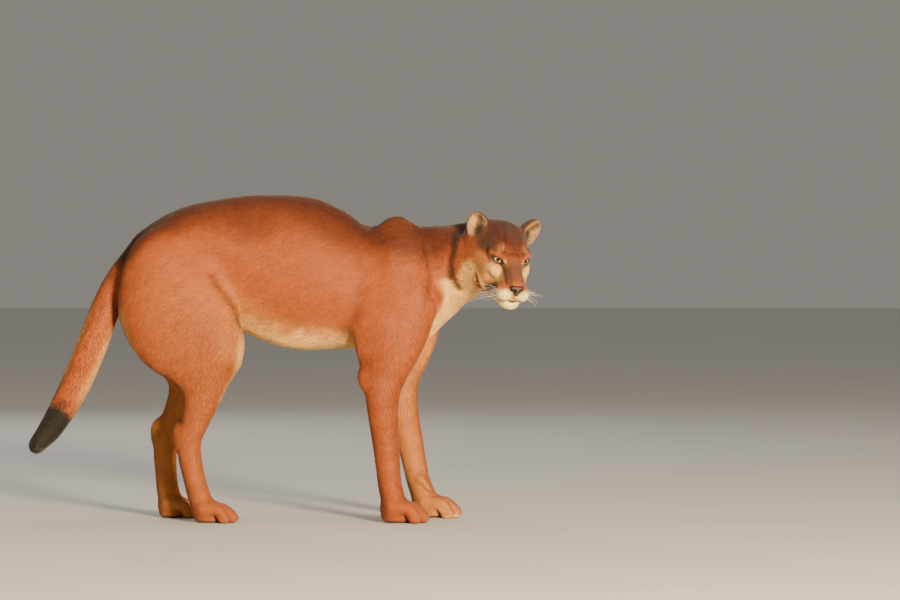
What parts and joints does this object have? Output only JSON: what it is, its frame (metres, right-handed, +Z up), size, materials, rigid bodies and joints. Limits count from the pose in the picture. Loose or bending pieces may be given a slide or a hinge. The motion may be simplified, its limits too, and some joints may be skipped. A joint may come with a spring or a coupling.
{
  "type": "cougar",
  "caption": "Life-size standing cougar, its head turned to its right and its tail hanging, as a still model on four paws.",
  "frame": {"origin": "on the floor under the middle of the outline seen from above", "axes": "+X from the tail towards the chest, +Y to the animal's left, +Z up"},
  "size_m": [1.103, 0.3785, 0.7174],
  "materials": {
    "tawny_coat": "short matt fur, tawny above and cream below",
    "dark_tip": "short matt fur, almost black",
    "nose_leather": "bare moist skin, satin",
    "eye": "wet gloss, amber iris"
  },
  "bodies": {
    "root": {"chest": "tawny_coat", "belly": "tawny_coat", "rump": "tawny_coat", "neck": "tawny_coat", "tail_root": "tawny_coat", "tail_middle": "tawny_coat", "tail_end": "tawny_coat", "tail_tip": "dark_tip", "thigh_right": "tawny_coat", "shank_right": "tawny_coat", "hind_foot_right": "tawny_coat", "shoulder_right": "tawny_coat", "forearm_right": "tawny_coat", "forepaw_right": "tawny_coat", "thigh_left": "tawny_coat", "shank_left": "tawny_coat", "hind_foot_left": "tawny_coat", "shoulder_left": "tawny_coat", "forearm_left": "tawny_coat", "forepaw_left": "tawny_coat", "head": "tawny_coat", "ear_right": "tawny_coat", "eye_right": "eye", "ear_left": "tawny_coat", "eye_left": "eye", "nose": "nose_leather"}
  },
  "joints": []
}
